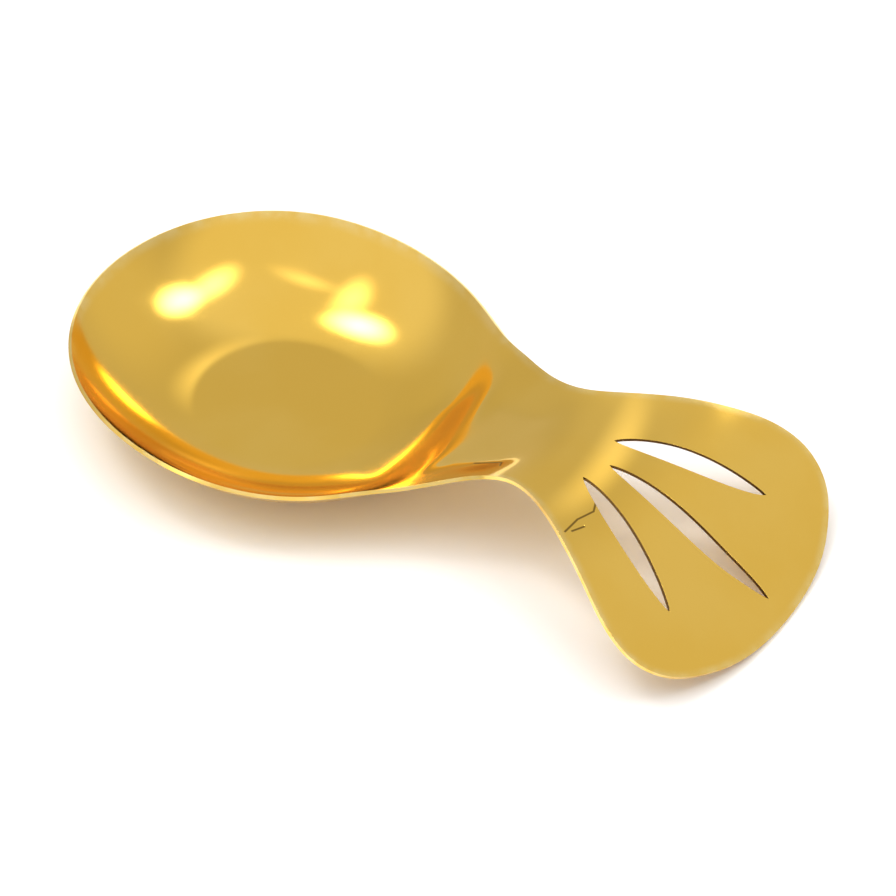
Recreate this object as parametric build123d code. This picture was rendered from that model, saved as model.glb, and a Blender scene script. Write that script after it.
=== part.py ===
"""Fish-shaped spoon rest pressed from one polished metal sheet.

Millimetres, +Z up, +X from the bowl towards the tail.
The origin is the middle of the flat floor patch, on the table.
"""
import os
from bisect import bisect
from math import asin, atan2, cos, exp, hypot, radians, sin, sqrt, tanh

from build123d import *

os.makedirs("parts", exist_ok=True)

# ---- sheet ----
SHEET = 1.2                # thickness of the pressed sheet
BASE_SKIM = 0.15           # ground off the underside so the resting patch is truly flat

# ---- bowl, measured from the origin ----
FLOOR_RX = 28.8            # flat floor oval, along the body
FLOOR_RY = 26.5            # flat floor oval, across the body
BOWL_RX = 66.0             # floor centre to the nose
BOWL_RY = 59.7             # floor centre to the side rim
SHOULDER = 36.0            # extra reach of the rim towards the neck
SHOULDER_SPREAD = radians(21.8)
BOWL_END = 76.0            # where the bowl's own wall would stop under the neck
END_ROUND = 5.0            # softness of that inner end
WALL_FOOT = radians(12)    # wall slope where it leaves the floor
WALL_TOP = radians(56)     # wall slope at the rim
CREASE = 0.05              # softness of the bend around the floor
RUN_OUT = 0.12             # share of the wall formed past the rim before the blank levels off

# ---- height of the rim and of the neck's and fin's edge, along the body ----
EDGE_LINE = [
    (-80, 23.2),
    (-50, 24.4),
    (-30, 24.7),
    (0, 23.5),
    (28, 22.4),
    (50, 23.6),
    (74, 29.7),
    (89, 34.2),
    (104, 35.9),
    (124, 32.0),
    (149, 18.0),
    (174, 1.25),
    (186, -7.4),
]

# ---- height of the middle line, from the floor up onto the neck ----
MIDDLE_LINE = [
    (30, 1.5),
    (36, 3.2),
    (40, 4.8),
    (44, 6.8),
    (48, 9.1),
    (55, 13.5),
    (62, 17.9),
    (65, 19.5),
    (70, 21.9),
    (80, 26.5),
    (88, 30.2),
    (92, 31.8),
    (96, 32.9),
    (104, 33.7),
    (112, 32.8),
    (120, 30.7),
]
BOWL_TO_NECK = (36, 64)    # the bowl's form gives way to the neck's trough here
FOLD_AT = 0.46             # share of the half width where the neck's margins start to turn up
FOLD_STARTS = (58, 68)     # places along the body where that fold comes in
FOLD_ENDS = (80, 94)       # and where it dies out
NECK_TO_FIN = (90, 112)    # the trough goes over into the fin's dish here

FIN_DISH = 2.4             # how far the fin's middle is pressed below its edges

# ---- edge of the neck and tail fin: distance along the body, half width ----
FIN_EDGE = [
    (91.0, 22.3),
    (105.0, 27.2),
    (118.0, 35.2),
    (130.5, 43.3),
    (141.5, 49.6),
    (151.0, 51.2),
    (159.5, 47.2),
    (166.0, 38.2),
    (170.5, 27.4),
    (173.2, 14.3),
]
FIN_END = 174.0

# ---- leaf-shaped slots in the fin: start, end, full width ----
MIDDLE_SLOT = ((113.4, 0.0), (166.6, 0.0), 7.0)
SIDE_SLOT = ((109.9, 9.3), (149.8, 28.2), 6.8)
SLOT_TIP = 0.6             # radius left at each pointed end

# ---- sampling of the formed surface ----
ROWS = 80
COLUMNS = 45
HALF_SPAN = 63.0


def smooth_step(value, low, high):
    """Go from 0 at low to 1 at high with level ends."""
    share = min(max((value - low) / (high - low), 0.0), 1.0)
    return share**3 * (10 - 15 * share + 6 * share * share)


def smooth_min(a, b, width):
    """The smaller of two lengths, rounded where they cross."""
    return 0.5 * (a + b - sqrt((a - b) ** 2 + width * width))


def floor_radius(angle):
    """Distance from the origin to the edge of the flat floor."""
    return 1 / hypot(cos(angle) / FLOOR_RX, sin(angle) / FLOOR_RY)


def rim_radius(angle):
    """Distance from the origin to the outer rim, open towards the neck."""
    middle = (BOWL_RX + BOWL_RY) / 2
    swing = (BOWL_RX - BOWL_RY) / 2
    oval = middle + swing * cos(2 * angle)
    return oval + SHOULDER * exp(-((angle / SHOULDER_SPREAD) ** 2))


def run_out(share):
    """Let a share that passes 1 level off shortly after it."""
    if share <= 1:
        return share
    return 1 + RUN_OUT * tanh((share - 1) / RUN_OUT)


def outline_edge():
    """Half of the plan outline: rim formula for the bowl, edge points for neck and fin."""
    half = []
    for step in range(172, 20, -8):
        angle = radians(step)
        radius = rim_radius(angle)
        half.append((radius * cos(angle), radius * sin(angle)))
    half += FIN_EDGE
    nose = (-BOWL_RX, 0)
    tail = (FIN_END, 0)
    return Spline([nose] + half + [tail], tangents=[(0, 1), (0, -1)])


def outline_face():
    """Plan outline of the whole fish."""
    upper = outline_edge()
    return make_face(upper + mirror(upper, about=Plane.XZ))


def line_table(curve):
    """Close samples of a curve, in order along it."""
    return [curve @ (step / 600) for step in range(601)]


def read_off(table, x):
    """Second value of a sampled curve at its first value."""
    place = bisect([point.X for point in table], x)
    place = min(max(place, 1), len(table) - 1)
    a = table[place - 1]
    b = table[place]
    return a.Y + (b.Y - a.Y) * (x - a.X) / (b.X - a.X)


def free_wall(share):
    """Height share of a wall that is an arc from its foot slope to its top slope."""
    foot = sin(WALL_FOOT)
    top = sin(WALL_TOP)
    slope = asin(foot + (top - foot) * run_out(share))
    return (cos(WALL_FOOT) - cos(slope)) / (cos(WALL_FOOT) - cos(WALL_TOP))


def bowl_height(x, y, edge_height):
    """A flat floor oval with a wall up to the rim all round."""
    angle = abs(atan2(y, x))
    floor = floor_radius(angle)
    rim = rim_radius(angle)
    if angle < radians(60):
        rim = smooth_min(rim, BOWL_END / cos(angle / 2), END_ROUND)
    share = (hypot(x, y) - floor) / (rim - floor)
    share = 0.5 * (share + sqrt(share * share + CREASE * CREASE))
    return SHEET + (edge_height - SHEET) * free_wall(share)


def neck_height(y, edge_height, middle, half_width, fold):
    """A trough whose margins turn up to the edge line, at a fold or in one sweep."""
    across = run_out(abs(y) / half_width)
    ramp = (across - FOLD_AT) / (1 - FOLD_AT)
    ramp = 0.5 * (ramp + sqrt(ramp * ramp + 0.02))
    rise = across * across * (1 - fold) + ramp * fold
    return middle + (edge_height - middle) * rise


def trough(x, edge_height):
    """Middle height, half width and amount of fold at one place along the body."""
    dish = FIN_DISH * (1 - smooth_step(x, 144, 174))
    middle = read_off(MIDDLE_TABLE, min(x, 119))
    middle += (edge_height - dish - middle) * smooth_step(x, *NECK_TO_FIN)
    half_width = read_off(WIDTH_TABLE, min(x, 168))
    fold = smooth_step(x, *FOLD_STARTS) * (1 - smooth_step(x, *FOLD_ENDS))
    return middle, half_width, fold


def section(x, edge_height):
    """Heights of the upper face across the body at one place along it."""
    neck_share = smooth_step(x, *BOWL_TO_NECK)
    across = [HALF_SPAN * (2 * column / (COLUMNS - 1) - 1) for column in range(COLUMNS)]
    heights = [0.0] * COLUMNS
    if neck_share < 1:
        heights = [bowl_height(x, y, edge_height) for y in across]
    if neck_share > 0:
        here = trough(x, edge_height)
        neck = [neck_height(y, edge_height, *here) for y in across]
        heights = [b + (n - b) * neck_share for b, n in zip(heights, neck)]
    return [Vector(x, y, z - BASE_SKIM) for y, z in zip(across, heights)]


def formed_surface():
    """The upper face of the pressing, larger than the blank's outline."""
    spine = Spline([(x, z) for x, z in EDGE_LINE])
    rows = []
    for row in range(ROWS):
        point = spine @ (row / (ROWS - 1))
        rows.append(section(point.X, point.Y))
    return Face.make_surface_from_array_of_points(rows, tol=0.05, min_deg=3, max_deg=3)


def leaf(start, end, width):
    """A slot shape: two bowed sides meeting in small round tips."""
    a = Vector(*start)
    b = Vector(*end)
    along = (b - a).normalized()
    across = Vector(-along.Y, along.X)
    middle = (a + b) * 0.5
    left = ThreePointArc(a, middle + across * (width / 2), b)
    right = ThreePointArc(b, middle - across * (width / 2), a)
    shape = make_face(left + right)
    return fillet(shape.vertices(), SLOT_TIP)


def slot_faces():
    """The three slots, the outer two mirrored about the body's middle."""
    start, end, width = SIDE_SLOT
    left = leaf(start, end, width)
    right = mirror(left, about=Plane.XZ)
    return [leaf(*MIDDLE_SLOT), left, right]


def pressed_body():
    """Trim the formed surface to the outline, cut the slots and give it thickness."""
    skin = formed_surface()
    prism = extrude(outline_face(), 120, both=True)
    skin = skin & prism
    for slot in slot_faces():
        skin = skin - extrude(slot, 120, both=True)
    body = thicken(skin.faces(), -SHEET)
    below = Pos(0, 0, -5) * Box(90, 90, 10)
    return body - below


MIDDLE_TABLE = line_table(Spline(MIDDLE_LINE))
WIDTH_TABLE = [point for point in line_table(outline_edge()) if point.X > 25]
body = pressed_body()
export_step(body, "parts/body.step")
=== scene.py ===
from math import asin, atan2, cos, exp, hypot, pi, radians, sin, sqrt, tanh

import bmesh
import bpy
from mathutils import Matrix, Vector


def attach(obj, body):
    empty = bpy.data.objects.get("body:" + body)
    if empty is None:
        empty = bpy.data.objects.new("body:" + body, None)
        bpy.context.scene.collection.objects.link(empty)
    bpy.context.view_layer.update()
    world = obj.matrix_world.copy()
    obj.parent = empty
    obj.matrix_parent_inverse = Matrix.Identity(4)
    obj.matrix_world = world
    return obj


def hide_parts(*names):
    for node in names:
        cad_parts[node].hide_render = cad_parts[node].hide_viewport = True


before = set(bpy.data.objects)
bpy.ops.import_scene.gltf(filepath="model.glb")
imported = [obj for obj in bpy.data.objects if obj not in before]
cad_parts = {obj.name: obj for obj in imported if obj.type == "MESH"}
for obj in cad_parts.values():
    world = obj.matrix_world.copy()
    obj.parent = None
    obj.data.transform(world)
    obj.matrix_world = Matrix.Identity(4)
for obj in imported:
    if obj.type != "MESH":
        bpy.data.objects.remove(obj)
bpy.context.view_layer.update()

MM = 0.001

# ---- sheet and bowl, millimetres, as formed ----
SHEET = 1.2
FLOOR_RX, FLOOR_RY = 28.8, 26.5
BOWL_RX, BOWL_RY = 66.0, 59.7
SHOULDER, SHOULDER_SPREAD = 36.0, radians(21.8)
BOWL_END, END_ROUND = 76.0, 5.0
END_FADES = (pi / 6, pi / 3)  # the inner end's softness dies out between these angles from the neck
WALL_FOOT, WALL_TOP = radians(12), radians(56)
CREASE = 0.05  # softness of the bend around the floor
RUN_OUT = 0.12  # share of the wall formed past the rim before the blank levels off

# ---- long profiles: rim and fin edge, then the middle of the neck ----
EDGE_LINE = [
    (-80, 23.2),
    (-50, 24.4),
    (-30, 24.7),
    (0, 23.5),
    (28, 22.4),
    (50, 23.6),
    (74, 29.7),
    (89, 34.2),
    (104, 35.9),
    (124, 32.0),
    (149, 18.0),
    (174, 1.25),
    (186, -7.4),
]
MIDDLE_LINE = [
    (30, 1.5),
    (36, 3.2),
    (40, 4.8),
    (44, 6.8),
    (48, 9.1),
    (55, 13.5),
    (62, 17.9),
    (65, 19.5),
    (70, 21.9),
    (80, 26.5),
    (88, 30.2),
    (92, 31.8),
    (96, 32.9),
    (104, 33.7),
    (112, 32.8),
    (120, 30.7),
]
MIDDLE_LAST = 119  # the middle line is read no further along than this

# ---- neck and fin: where one form goes over into the next, along the body ----
BOWL_TO_NECK = (36, 64)
FOLD_AT = 0.46  # share of the half width where the neck's margins turn up
FOLD_SOFTNESS = 0.02
FOLD_STARTS = (58, 68)
FOLD_ENDS = (80, 94)
NECK_TO_FIN = (90, 112)
FIN_DISH = 2.4  # how far the fin's middle is pressed below its edges
DISH_ENDS = (144, 174)

# ---- edge of the neck and fin: distance along the body, half width ----
FIN_EDGE = [
    (91.0, 22.3),
    (105.0, 27.2),
    (118.0, 35.2),
    (130.5, 43.3),
    (141.5, 49.6),
    (151.0, 51.2),
    (159.5, 47.2),
    (166.0, 38.2),
    (170.5, 27.4),
    (173.2, 14.3),
]
FIN_END = 174.0
WIDTH_LAST = 168  # the trough's half width is read no further along than this

# ---- leaf slots: start, end, full width ----
MIDDLE_SLOT = ((113.4, 0.0), (166.6, 0.0), 7.0)
SIDE_SLOT = ((109.9, 9.3), (149.8, 28.2), 6.8)
LEAF_POWER = 0.75  # below 1 the leaf is fuller towards its tips
SLOT_REACH = 15  # columns from a slot's line to where its push has died out
TIP_SHARE = 0.001  # points this close to a slot's end stay together
SLOT_ZONE = (105, 170)  # all slots lie within this stretch of the body
SLOPE_STEP = 2  # half of the stretch over which the fin's slope is read
WALL_TILT = 0.5  # cosine to the fin's normal, below which a face is a cut wall
RIM_MARGIN = 2.5  # cut walls this close to the outline belong to the rim

# ---- fine folds left by the press, in plan: dented, and darkened with painted shade ----
PRESS_FOLDS = [
    [(116.2, -12.6), (118.4, -18.5), (116.6, -24.7), (116.5, -31.6)],
    [(117.8, -29.8), (119.4, -25.5)],
    [(74.2, -12.5), (83.3, -12.0), (84.2, -14.5)],
]
FOLD_LINE = (0.12, 0.5)  # half width of a fold's core of painted shade, and where its mark has faded
# painted shade along the folds: its dark colour, and how strongly it covers the metal
FOLD_SHADE_COLOUR = (0.12, 0.06, 0.01, 1)
FOLD_SHADE_STRENGTH = 0.8

# ---- blank: a grid spread over the outline ----
ROWS = 224
COLUMNS = 96
SIDE_COLUMN = 21  # columns from the middle to the line of a side slot
COLUMN_BENDS = (70, 176)  # the columns leave their even spacing and come back to it
HALF_WIDTH_AT_SLOT = 29.9  # half width of the blank where the side slots start
NOSE_PART, TAIL_PART = 46.0, 38.0  # outline lengths taken up by the first and last row
END_REACH = 0.36  # share of the rows that follow the curve of the nose or the tail
SMOOTHING_PASSES = 60
EDGE_BAND = 2.2  # width of the rubbed band along the edge, which is also lightened there as a painted highlight


class Spline:
    """Smooth curve through points, read by distance along the chord."""

    def __init__(self, points, start=None, end=None):
        self.points = [Vector((p[0], p[1])) for p in points]
        self.knots = [0.0]
        for a, b in zip(self.points, self.points[1:]):
            self.knots.append(self.knots[-1] + (b - a).length)
        self.slopes = self.solve(start, end)

    def solve(self, start, end):
        """Slopes at the points for a curve with no jumps in its bend."""
        p, t = self.points, self.knots
        n = len(p)
        lower, middle, upper, right = [0.0] * n, [1.0] * n, [0.0] * n, [Vector((0, 0))] * n
        right[0] = Vector(start) if start else (p[1] - p[0]) / (t[1] - t[0])
        right[-1] = Vector(end) if end else (p[-1] - p[-2]) / (t[-1] - t[-2])
        for i in range(1, n - 1):
            a, b = t[i] - t[i - 1], t[i + 1] - t[i]
            lower[i], middle[i], upper[i] = b, 2 * (a + b), a
            right[i] = 3 * ((p[i] - p[i - 1]) * (b / a) + (p[i + 1] - p[i]) * (a / b))
        for i in range(1, n):
            factor = lower[i] / middle[i - 1]
            middle[i] -= factor * upper[i - 1]
            right[i] = right[i] - right[i - 1] * factor
        slopes = [None] * n
        slopes[-1] = right[-1] / middle[-1]
        for i in range(n - 2, -1, -1):
            slopes[i] = (right[i] - slopes[i + 1] * upper[i]) / middle[i]
        return slopes

    def at(self, distance):
        """Point at a distance along the chords."""
        t = self.knots
        i = 0
        while i < len(t) - 2 and distance > t[i + 1]:
            i += 1
        h = t[i + 1] - t[i]
        u = (distance - t[i]) / h
        a, b = self.points[i], self.points[i + 1]
        ma, mb = self.slopes[i] * h, self.slopes[i + 1] * h
        v = 1 - u
        near = a * (v * v * (1 + 2 * u)) + ma * (v * v * u)
        return near + b * (u * u * (1 + 2 * v)) - mb * (u * u * v)

    def length(self):
        """Length of the chords together."""
        return self.knots[-1]


def table_of(curve, count):
    """Evenly spaced samples of a curve."""
    return [curve.at(curve.length() * i / (count - 1)) for i in range(count)]


def lookup(table, x):
    """Second value of a table of points whose first values rise."""
    low, high = 0, len(table) - 1
    while high - low > 1:
        middle = (low + high) // 2
        if table[middle].x <= x:
            low = middle
        else:
            high = middle
    a, b = table[low], table[high]
    return a.y + (b.y - a.y) * (x - a.x) / (b.x - a.x)


def smooth_step(value, low, high):
    """Go from 0 at low to 1 at high with level ends."""
    share = min(max((value - low) / (high - low), 0.0), 1.0)
    return share**3 * (10 - 15 * share + 6 * share * share)


def floor_radius(angle):
    """Distance from the origin to the edge of the flat floor."""
    return 1 / hypot(cos(angle) / FLOOR_RX, sin(angle) / FLOOR_RY)


def rim_radius(angle):
    """Distance from the origin to the outer rim, open towards the neck."""
    oval = (BOWL_RX + BOWL_RY) / 2 + (BOWL_RX - BOWL_RY) / 2 * cos(2 * angle)
    return oval + SHOULDER * exp(-((angle / SHOULDER_SPREAD) ** 2))


def run_out(share):
    """Let a share that passes 1 level off shortly after it."""
    if share <= 1:
        return share
    return 1 + RUN_OUT * tanh((share - 1) / RUN_OUT)


def free_wall(share):
    """Height share of a wall that is an arc from its foot slope to its top slope."""
    foot, top = sin(WALL_FOOT), sin(WALL_TOP)
    slope = asin(foot + (top - foot) * run_out(share))
    return (cos(WALL_FOOT) - cos(slope)) / (cos(WALL_FOOT) - cos(WALL_TOP))


EDGE_TABLE = table_of(Spline(EDGE_LINE), count=800)
MIDDLE_TABLE = table_of(Spline(MIDDLE_LINE), count=300)


def outline():
    """Half outline of the blank from the nose to the fin's end."""
    points = [(-BOWL_RX, 0)]
    for step in range(172, 20, -8):
        angle = radians(step)
        points.append((rim_radius(angle) * cos(angle), rim_radius(angle) * sin(angle)))
    points += FIN_EDGE + [(FIN_END, 0)]
    return Spline(points, start=(0, 1), end=(0, -1))


edge = outline()
total = edge.length()
WIDTH_TABLE = [point for point in table_of(edge, count=1500) if point.x > 25]


def bowl_height(x, y, rim_height):
    """A floor oval with a wall that is one arc up to the rim."""
    angle = abs(atan2(y, x))
    floor, rim = floor_radius(angle), rim_radius(angle)
    if angle < END_FADES[1]:
        stop = BOWL_END / cos(angle / 2)
        soften = END_ROUND * (1 - smooth_step(angle, *END_FADES))
        rim = 0.5 * (rim + stop - hypot(rim - stop, soften))
    share = (hypot(x, y) - floor) / (rim - floor)
    share = 0.5 * (share + sqrt(share * share + CREASE * CREASE))
    return SHEET + (rim_height - SHEET) * free_wall(share)


def neck_height(x, y, edge_height):
    """A trough that climbs out of the bowl and goes on as the fin's shallow dish."""
    dish = FIN_DISH * (1 - smooth_step(x, *DISH_ENDS))
    middle = lookup(MIDDLE_TABLE, min(x, MIDDLE_LAST))
    middle += (edge_height - dish - middle) * smooth_step(x, *NECK_TO_FIN)
    across = run_out(abs(y) / lookup(WIDTH_TABLE, min(x, WIDTH_LAST)))
    fold = smooth_step(x, *FOLD_STARTS) * (1 - smooth_step(x, *FOLD_ENDS))
    ramp = (across - FOLD_AT) / (1 - FOLD_AT)
    ramp = 0.5 * (ramp + sqrt(ramp * ramp + FOLD_SOFTNESS))
    rise = across * across * (1 - fold) + ramp * fold
    return middle + (edge_height - middle) * rise


def press(x, y):
    """Height of the upper face once the flat blank has been pressed."""
    edge_height = lookup(EDGE_TABLE, x)
    if x < BOWL_TO_NECK[0]:
        return bowl_height(x, y, edge_height)
    neck = neck_height(x, y, edge_height)
    share = smooth_step(x, *BOWL_TO_NECK)
    if share == 1:
        return neck
    return bowl_height(x, y, edge_height) * (1 - share) + neck * share


def slot_axis(x):
    """Distance of a side slot's axis from the middle line."""
    (x0, y0), (x1, y1), _ = SIDE_SLOT
    return y0 + (y1 - y0) * (x - x0) / (x1 - x0)


def leaf_half(share, width):
    """Half width of a leaf at a share of its length."""
    return width / 2 * max(0.0, 1 - (2 * share - 1) ** 2) ** LEAF_POWER


def side_ratio(edge_point):
    """Share of the half width at which a side slot's column runs, beside an edge point."""
    (x0, _), (x1, _), _ = SIDE_SLOT
    even = SIDE_COLUMN / (COLUMNS // 2)
    bend_from, bend_to = COLUMN_BENDS
    if edge_point.x < x0:
        start = slot_axis(x0) / HALF_WIDTH_AT_SLOT
        return even + (start - even) * smooth_step(edge_point.x, bend_from, x0)
    if edge_point.x <= x1:
        return slot_axis(edge_point.x) / edge_point.y
    end = slot_axis(x1) / edge_point.y
    return end + (even - end) * smooth_step(edge_point.x, x1, bend_to)


def build_body():
    """Spread the grid over the outline, open the slots and press the sheet."""
    bm = bmesh.new()
    bmesh.ops.create_grid(bm, x_segments=ROWS, y_segments=COLUMNS, size=1.0)
    bm.verts.ensure_lookup_table()
    at = {}
    for v in bm.verts:
        i = round((v.co.x + 1) / 2 * ROWS)
        j = round((v.co.y + 1) / 2 * COLUMNS)
        at[i, j] = v
    along_side = total - NOSE_PART - TAIL_PART
    side = [edge.at(NOSE_PART + along_side * i / ROWS) for i in range(ROWS + 1)]
    half = COLUMNS // 2
    nose = [edge.at(NOSE_PART * abs(j - half) / half) for j in range(COLUMNS + 1)]
    tail = [edge.at(total - TAIL_PART * abs(j - half) / half) for j in range(COLUMNS + 1)]
    q_side = SIDE_COLUMN / half
    for (i, j), v in at.items():
        s = i / ROWS
        q = (j - half) / half
        sign = 1 if q >= 0 else -1
        edge_point = side[i]
        near_nose = max(0.0, 1 - s / END_REACH) ** 2
        near_tail = max(0.0, 1 - (1 - s) / END_REACH) ** 2
        ratio = side_ratio(edge_point)
        bend = (ratio - q_side) / (q_side * (1 - q_side**2))
        g = q + bend * q * (1 - q * q)
        x = edge_point.x + near_nose * (nose[j].x - nose[0].x)
        x += near_tail * (tail[j].x - tail[0].x)
        y = edge_point.y * g
        y += near_nose * (sign * nose[j].y - g * nose[0].y)
        y += near_tail * (sign * tail[j].y - g * tail[0].y)
        v.co = Vector((x, y, 0))
    open_slots(bm, at, half)
    inside = [v for v in bm.verts if not v.is_boundary]
    for _ in range(SMOOTHING_PASSES):
        bmesh.ops.smooth_vert(bm, verts=inside, factor=0.5, use_axis_x=True, use_axis_y=True)
    for v in bm.verts:
        v.co.z = press(v.co.x, v.co.y)
        v.co *= MM
    return bm


def open_slots(bm, at, half):
    """Split the blank along each slot's line and push the two sides apart."""
    slots = [
        (MIDDLE_SLOT, half, 1),
        (SIDE_SLOT, half + SIDE_COLUMN, 1),
        (SIDE_SLOT, half - SIDE_COLUMN, -1),
    ]
    moves = {v: Vector((0, 0, 0)) for v in bm.verts}
    lines = []
    for (start, end, width), column, sign in slots:
        a = Vector((start[0], start[1] * sign, 0))
        b = Vector((end[0], end[1] * sign, 0))
        along = (b - a).normalized()
        across = Vector((-along.y, along.x, 0))
        rows = [i for i in range(ROWS + 1) if 0 < (at[i, column].co - a).dot(along) < (b - a).length]
        first, last = rows[0] - 1, rows[-1] + 1
        low = (at[first, column].co - a).dot(along)
        high = (at[last, column].co - a).dot(along)
        for i in range(first, last + 1):
            aside = across * (a - at[i, column].co).dot(across)
            for k in range(1 - SLOT_REACH, SLOT_REACH):
                moves[at[i, column + k]] += aside * (1 - abs(k) / SLOT_REACH)
            share = ((at[i, column].co - a).dot(along) - low) / (high - low)
            open_by = leaf_half(share, width)
            for k in range(1, SLOT_REACH):
                for way in (-1, 1):
                    v = at[i, column + way * k]
                    moves[v] += across * (way * open_by * (1 - k / SLOT_REACH))
        edges = []
        for i in range(first, last):
            pair = (at[i, column], at[i + 1, column])
            edges.append(next(e for e in pair[0].link_edges if e.other_vert(pair[0]) is pair[1]))
        lines.append((edges, a, along, across, low, high, width))
    for v, move in moves.items():
        v.co += move
    for edges, a, along, across, low, high, width in lines:
        made = bmesh.ops.split_edges(bm, edges=edges)
        lips = {v for e in made["edges"] for v in e.verts}
        for v in lips:
            share = ((v.co - a).dot(along) - low) / (high - low)
            if not TIP_SHARE < share < 1 - TIP_SHARE:
                continue
            middle = sum((f.calc_center_median() for f in v.link_faces), Vector()) / len(v.link_faces)
            way = 1 if (middle - v.co).dot(across) > 0 else -1
            v.co += across * (way * leaf_half(share, width))


def finish_mesh(bm, name):
    """Turn the worked mesh into a smooth-shaded object in the scene."""
    mesh = bpy.data.meshes.new(name)
    bm.to_mesh(mesh)
    bm.free()
    for polygon in mesh.polygons:
        polygon.use_smooth = True
    piece = bpy.data.objects.new(name, mesh)
    bpy.context.scene.collection.objects.link(piece)
    return piece


def wire(tree, source, target):
    """Link one socket to another."""
    tree.links.new(source, target)


def feed(tree, socket, given):
    """Link a socket to this one, or set a constant on it."""
    if isinstance(given, bpy.types.NodeSocket):
        wire(tree, given, socket)
    else:
        socket.default_value = given


def add_noise(tree, place, stretch, scale, detail):
    """Noise in the piece's own space, drawn out by the stretch."""
    mapping = tree.nodes.new("ShaderNodeMapping")
    mapping.inputs["Scale"].default_value = stretch
    wire(tree, place, mapping.inputs["Vector"])
    noise = tree.nodes.new("ShaderNodeTexNoise")
    noise.inputs["Scale"].default_value = scale
    noise.inputs["Detail"].default_value = detail
    wire(tree, mapping.outputs["Vector"], noise.inputs["Vector"])
    return noise.outputs["Fac"]


def add_range(tree, value, low, high, new_low, new_high):
    """Carry a value from one range to another with level ends."""
    spread = tree.nodes.new("ShaderNodeMapRange")
    spread.interpolation_type = "SMOOTHSTEP"
    names = ("Value", "From Min", "From Max", "To Min", "To Max")
    for name, given in zip(names, (value, low, high, new_low, new_high)):
        feed(tree, spread.inputs[name], given)
    return spread.outputs["Result"]


def add_math(tree, kind, a, b):
    """One calculation on two values."""
    step = tree.nodes.new("ShaderNodeMath")
    step.operation = kind
    for socket, given in zip(step.inputs, (a, b)):
        feed(tree, socket, given)
    return step.outputs["Value"]


def add_mix(tree, share, a, b):
    """Blend from one colour to another by a share."""
    mix = tree.nodes.new("ShaderNodeMix")
    mix.data_type = "RGBA"
    for name, given in zip(("Factor", "A", "B"), (share, a, b)):
        feed(tree, mix.inputs[name], given)
    return mix.outputs["Result"]


def polish_traces():
    """What polishing and handling leave on plated metal: lines, smudges, rubbed edges. The rubbed edges
    are also lightened as a painted highlight.
    """
    group = bpy.data.node_groups.new("polish_traces", "ShaderNodeTree")
    sockets = group.interface
    for name in ("Plating", "Thin Plating", "Rubbed Edge And Highlight"):
        sockets.new_socket(name, in_out="INPUT", socket_type="NodeSocketColor")
    for name in ("Roughness", "Smudge", "Lines", "Waves"):
        sockets.new_socket(name, in_out="INPUT", socket_type="NodeSocketFloat")
    sockets.new_socket("Colour", in_out="OUTPUT", socket_type="NodeSocketColor")
    sockets.new_socket("Roughness", in_out="OUTPUT", socket_type="NodeSocketFloat")
    sockets.new_socket("Height", in_out="OUTPUT", socket_type="NodeSocketFloat")
    given = group.nodes.new("NodeGroupInput").outputs
    result = group.nodes.new("NodeGroupOutput").inputs
    place = group.nodes.new("ShaderNodeTexCoord").outputs["Object"]
    band = group.nodes.new("ShaderNodeAttribute")
    band.attribute_name = "edge_band"

    cloudy = add_noise(group, place, (1, 1, 1), 22, 4)
    thin = add_range(group, cloudy, 0.42, 0.7, 0, 1)
    colour = add_mix(group, thin, given["Plating"], given["Thin Plating"])
    patchy = add_noise(group, place, (1, 1, 1), 170, 3)
    worn = add_range(group, patchy, 0.35, 0.65, 0.3, 1)
    # the band near the edge is rubbed and lightened: partly wear, partly painted highlight
    rub_and_highlight = add_math(group, "MULTIPLY", band.outputs["Fac"], worn)
    wire(group, add_mix(group, rub_and_highlight, colour, given["Rubbed Edge And Highlight"]), result["Colour"])

    finger = add_noise(group, place, (1, 1.6, 1), 34, 6)
    smudge = add_range(group, finger, 0.5, 0.72, 0, given["Smudge"])
    strokes = add_noise(group, place, (14, 260, 60), 10, 2)
    stroke_dull = add_range(group, strokes, 0.55, 0.75, 0, 0.5)
    stroke_dull = add_math(group, "MULTIPLY", stroke_dull, given["Lines"])
    dull = add_math(group, "ADD", given["Roughness"], add_math(group, "ADD", smudge, stroke_dull))
    dull = add_math(group, "ADD", dull, add_math(group, "MULTIPLY", rub_and_highlight, 0.08))
    wire(group, dull, result["Roughness"])

    swell = add_noise(group, place, (1, 1, 1), 26, 1)
    waves = add_math(group, "MULTIPLY", swell, given["Waves"])
    fine = add_math(group, "MULTIPLY", strokes, given["Lines"])
    wire(group, add_math(group, "ADD", waves, fine), result["Height"])
    return group


def vector_step(tree, kind, *given):
    """One calculation on vectors."""
    step = tree.nodes.new("ShaderNodeVectorMath")
    step.operation = kind
    for socket, value in zip(step.inputs, given):
        feed(tree, socket, value)
    return step.outputs["Value" if kind in ("DOT_PRODUCT", "LENGTH", "DISTANCE") else "Vector"]


def add_line_gap(tree, flat, start, end):
    """Distance in plan from a straight line between two points."""
    a = Vector((*start, 0)) * MM
    along = Vector((*end, 0)) * MM - a
    offset = vector_step(tree, "SUBTRACT", flat, a)
    share = vector_step(tree, "DOT_PRODUCT", offset, along / along.length_squared)
    hold = tree.nodes.new("ShaderNodeClamp")
    wire(tree, share, hold.inputs["Value"])
    foot = vector_step(tree, "MULTIPLY_ADD", hold.outputs["Result"], along, a)
    return vector_step(tree, "DISTANCE", flat, foot)


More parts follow.
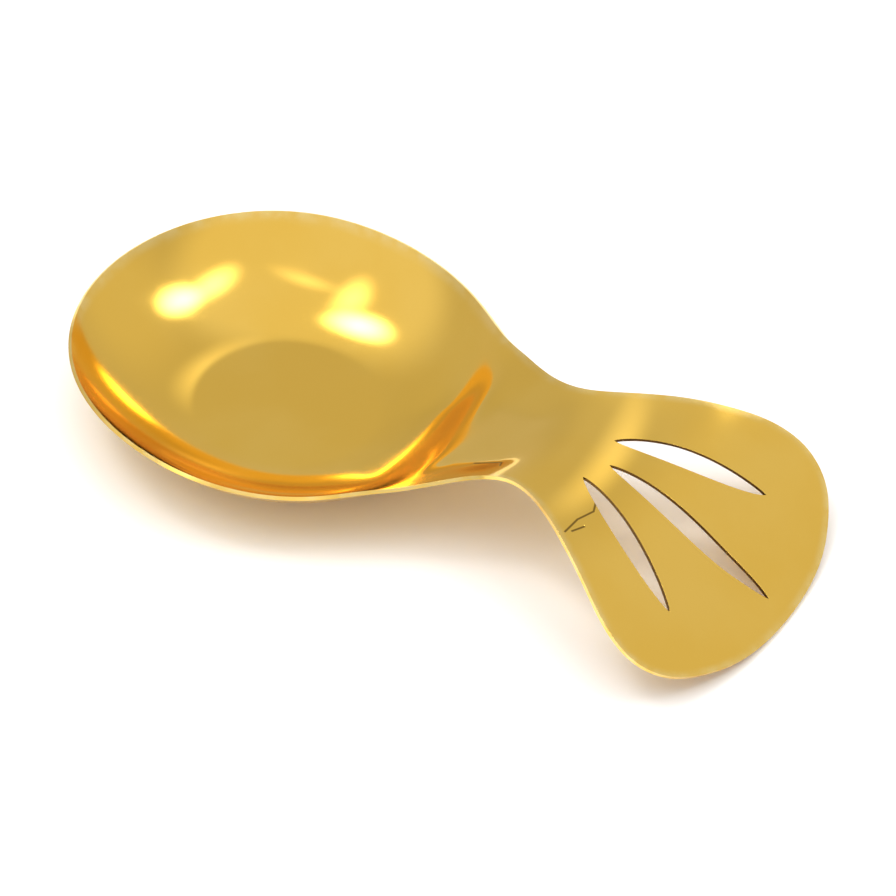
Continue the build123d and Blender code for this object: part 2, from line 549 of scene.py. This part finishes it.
def fold_dent_and_shade(tree):
    """Mask of the fine folds left by pressing, for their dent and their painted shade. It goes by the
    place in plan, so both faces show it.
    """
    level = tree.nodes.new("ShaderNodeMapping")
    level.inputs["Scale"].default_value = (1, 1, 0)
    wire(tree, tree.nodes.new("ShaderNodeTexCoord").outputs["Object"], level.inputs["Vector"])
    gap = 1.0
    for fold in PRESS_FOLDS:
        for start, end in zip(fold, fold[1:]):
            line_gap = add_line_gap(tree, level.outputs["Vector"], start, end)
            gap = add_math(tree, "MINIMUM", line_gap, gap)
    core, faded = FOLD_LINE
    return add_range(tree, gap, core * MM, faded * MM, 1, 0)


def plated_metal(name, traces, colours, roughness, smudge, lines, waves, folded=False):
    """Metal with the shared polish traces, and the press folds, dented and darkened with painted shade,
    if asked.
    """
    material = bpy.data.materials.new(name)
    material.use_nodes = True
    tree = material.node_tree
    shader = tree.nodes["Principled BSDF"]
    shader.inputs["Metallic"].default_value = 1.0
    surface = tree.nodes.new("ShaderNodeGroup")
    surface.node_tree = traces
    for socket, colour in zip(("Plating", "Thin Plating", "Rubbed Edge And Highlight"), colours):
        surface.inputs[socket].default_value = (*colour, 1)
    amounts = {"Roughness": roughness, "Smudge": smudge, "Lines": lines, "Waves": waves}
    for socket, value in amounts.items():
        surface.inputs[socket].default_value = value
    colour, height = surface.outputs["Colour"], surface.outputs["Height"]
    if folded:
        marks = fold_dent_and_shade(tree)
        # the folds' mask darkens the colour here as painted shade
        share = add_math(tree, "MULTIPLY", marks, FOLD_SHADE_STRENGTH)
        colour = add_mix(tree, share, colour, FOLD_SHADE_COLOUR)
        height = add_math(tree, "SUBTRACT", height, marks)
    wire(tree, colour, shader.inputs["Base Color"])
    wire(tree, surface.outputs["Roughness"], shader.inputs["Roughness"])
    bump = tree.nodes.new("ShaderNodeBump")
    bump.inputs["Strength"].default_value = 1.0
    bump.inputs["Distance"].default_value = 0.1 * MM
    wire(tree, height, bump.inputs["Height"])
    wire(tree, bump.outputs["Normal"], shader.inputs["Normal"])
    return material


def mark_edge_band(mesh):
    """Keep how close each point is to the blank's edge, for the rubbed plating and its painted
    highlight.
    """
    band = mesh.attributes.new("edge_band", "FLOAT", "POINT")
    rim = table_of(edge, count=700)
    for index, vertex in enumerate(mesh.vertices):
        x, y = vertex.co.x / MM, abs(vertex.co.y) / MM
        gap = min(hypot(p.x - x, p.y - y) for p in rim)
        band.data[index].value = max(0.0, 1 - gap / EDGE_BAND)


def give_thickness(bm):
    """Thicken the skin downwards and mark the walls of the slots for the painted-shade material."""
    bmesh.ops.solidify(bm, geom=bm.faces[:], thickness=SHEET * MM)
    bm.normal_update()
    for v in bm.verts:
        v.co.z = max(v.co.z, 0.0)
    for f in bm.faces:
        place = f.calc_center_median() / MM
        if not SLOT_ZONE[0] < place.x < SLOT_ZONE[1]:
            continue
        before = lookup(EDGE_TABLE, place.x - SLOPE_STEP)
        after = lookup(EDGE_TABLE, place.x + SLOPE_STEP)
        up = Vector(((before - after) / (2 * SLOPE_STEP), 0, 1)).normalized()
        is_wall = abs(f.normal.dot(up)) < WALL_TILT
        if is_wall and abs(place.y) < lookup(WIDTH_TABLE, place.x) - RIM_MARGIN:
            f.material_index = 1


bm = build_body()
bmesh.ops.recalc_face_normals(bm, faces=bm.faces)
if sum(f.normal.z for f in bm.faces) < 0:
    bmesh.ops.reverse_faces(bm, faces=bm.faces)
give_thickness(bm)
bmesh.ops.recalc_face_normals(bm, faces=bm.faces)
body = finish_mesh(bm, "pressed_body")
round_off = body.modifiers.new("rounded edge", "BEVEL")
round_off.width = 0.2 * MM
round_off.segments = 3
round_off.limit_method = "ANGLE"
round_off.angle_limit = radians(50)
round_off.harden_normals = True
mark_edge_band(body.data)
traces = polish_traces()
# plating, thin plating and rubbed edge of each metal; the lighter rubbed edge is partly a painted
# highlight
gold = ((0.94, 0.585, 0.098), (0.96, 0.615, 0.12), (0.98, 0.72, 0.27))
# dark brown on the slot walls is painted shade, standing in for the shaded floor that these walls
# reflect
slot_wall_shade = ((0.16, 0.085, 0.02), (0.12, 0.06, 0.015), (0.2, 0.11, 0.03))
body.data.materials.append(plated_metal("gold_plating", traces, gold, 0.1, 0.06, 0.03, 0.7, folded=True))
body.data.materials.append(plated_metal("slot_wall_painted_shade", traces, slot_wall_shade, 0.35, 0.1, 0.1, 0))

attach(body, "root")
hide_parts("body")

# ---- floor, light, camera ----
floor_bm = bmesh.new()
bmesh.ops.create_grid(floor_bm, x_segments=1, y_segments=1, size=3.0)
floor = finish_mesh(floor_bm, "floor")
floor_material = bpy.data.materials.new("pale_floor")
floor_material.use_nodes = True
floor_shader = floor_material.node_tree.nodes["Principled BSDF"]
floor_shader.inputs["Base Color"].default_value = (0.9, 0.9, 0.9, 1)
floor_shader.inputs["Roughness"].default_value = 0.7
floor.data.materials.append(floor_material)

scene = bpy.context.scene
world = bpy.data.worlds.new("studio")
scene.world = world
world.use_nodes = True
sky = world.node_tree
sky_base = sky.nodes["Background"]
sky_base.inputs["Color"].default_value = (1, 1, 1, 1)


def soft_glow(so_far, towards, spread, strength, core):
    """Add an oval patch of light with a soft edge to the sky."""
    offset = vector_step(sky, "SUBTRACT", directions, Vector(towards).normalized())
    scaled = vector_step(sky, "MULTIPLY", offset, Vector([1 / width for width in spread]))
    patch = add_range(sky, vector_step(sky, "LENGTH", scaled), core, 1.0, strength, 0.0)
    return add_math(sky, "ADD", patch, so_far)


# ---- sky: its even level, then each glow's direction, spread, strength and even core ----
SKY_LEVEL = 0.62
GLOWS = [
    ((0, -0.5, 0.86), (1.05, 1.05, 1.05), 0.24, 0.7),
    ((-0.8, 0.45, 0.38), (0.5, 0.5, 0.5), -0.06, 0.2),
    ((0.6, 0.6, 0.5), (0.75, 0.75, 0.75), 0.1, 0.3),
    ((-0.12, 0.6, 0.79), (0.2, 0.4, 0.4), 0.5, 0.0),
    ((0.48, 0.28, 0.83), (0.17, 0.24, 0.3), 9, 0.0),
    ((0.44, 0.0, 0.9), (0.14, 0.36, 0.3), 3, 0.0),
    ((-0.42, -0.1, 0.9), (0.24, 0.2, 0.3), 9, 0.0),
    ((-0.3, -0.36, 0.88), (0.14, 0.34, 0.4), 2.0, 0.0),
    ((0.02, -0.42, 0.91), (0.3, 0.1, 0.3), 0.7, 0.0),
]
directions = sky.nodes.new("ShaderNodeTexCoord").outputs["Generated"]
sky_light = SKY_LEVEL
for glow in GLOWS:
    sky_light = soft_glow(sky_light, *glow)
wire(sky, sky_light, sky_base.inputs["Strength"])
scene.view_settings.view_transform = "Standard"


def soft_box(name, place, target, size, power):
    """An area light at a place, turned to a target."""
    light = bpy.data.lights.new(name, "AREA")
    light.shape = "RECTANGLE"
    light.size, light.size_y = size
    light.energy = power
    lamp = bpy.data.objects.new(name, light)
    lamp.location = place
    lamp.rotation_euler = (Vector(target) - Vector(place)).to_track_quat("-Z", "Y").to_euler()
    scene.collection.objects.link(lamp)
    return lamp


AZIMUTH, ELEVATION, ROLL = radians(31.78), radians(44), radians(-0.26)
DISTANCE = 1.7919
SHIFT_RIGHT, SHIFT_UP = 2.82, -0.04
SENSOR_WIDTH = 36
IMAGE_WIDTH = 896
FOCAL_LENGTH = 6000  # in the unit of the image width
aim = Vector((54 * MM, 0, 10 * MM))
right = Vector((cos(AZIMUTH), sin(AZIMUTH), 0))
away = Vector((-sin(AZIMUTH), cos(AZIMUTH), 0))
back = -away * cos(ELEVATION) + Vector((0, 0, sin(ELEVATION)))
up = away * sin(ELEVATION) + Vector((0, 0, cos(ELEVATION)))
camera_data = bpy.data.cameras.new("camera")
camera_data.sensor_width = SENSOR_WIDTH
camera_data.lens = FOCAL_LENGTH * SENSOR_WIDTH / IMAGE_WIDTH
camera = bpy.data.objects.new("camera", camera_data)
camera.location = aim + back * DISTANCE + right * (SHIFT_RIGHT * MM) + up * (SHIFT_UP * MM)
turn = Matrix((right, up, back)).transposed().to_4x4()
camera.matrix_world = Matrix.Translation(camera.location) @ turn @ Matrix.Rotation(ROLL, 4, "Z")
camera_data.clip_end = 20
scene.collection.objects.link(camera)
scene.camera = camera

centre = Vector((40 * MM, 0, 15 * MM))
overhead = centre + Vector((0, 0, 1.5)) + away * 0.2 - right * 0.3
fill = soft_box("ceiling_box", overhead, centre, size=(2.2, 2.2), power=19)
fill.visible_glossy = False
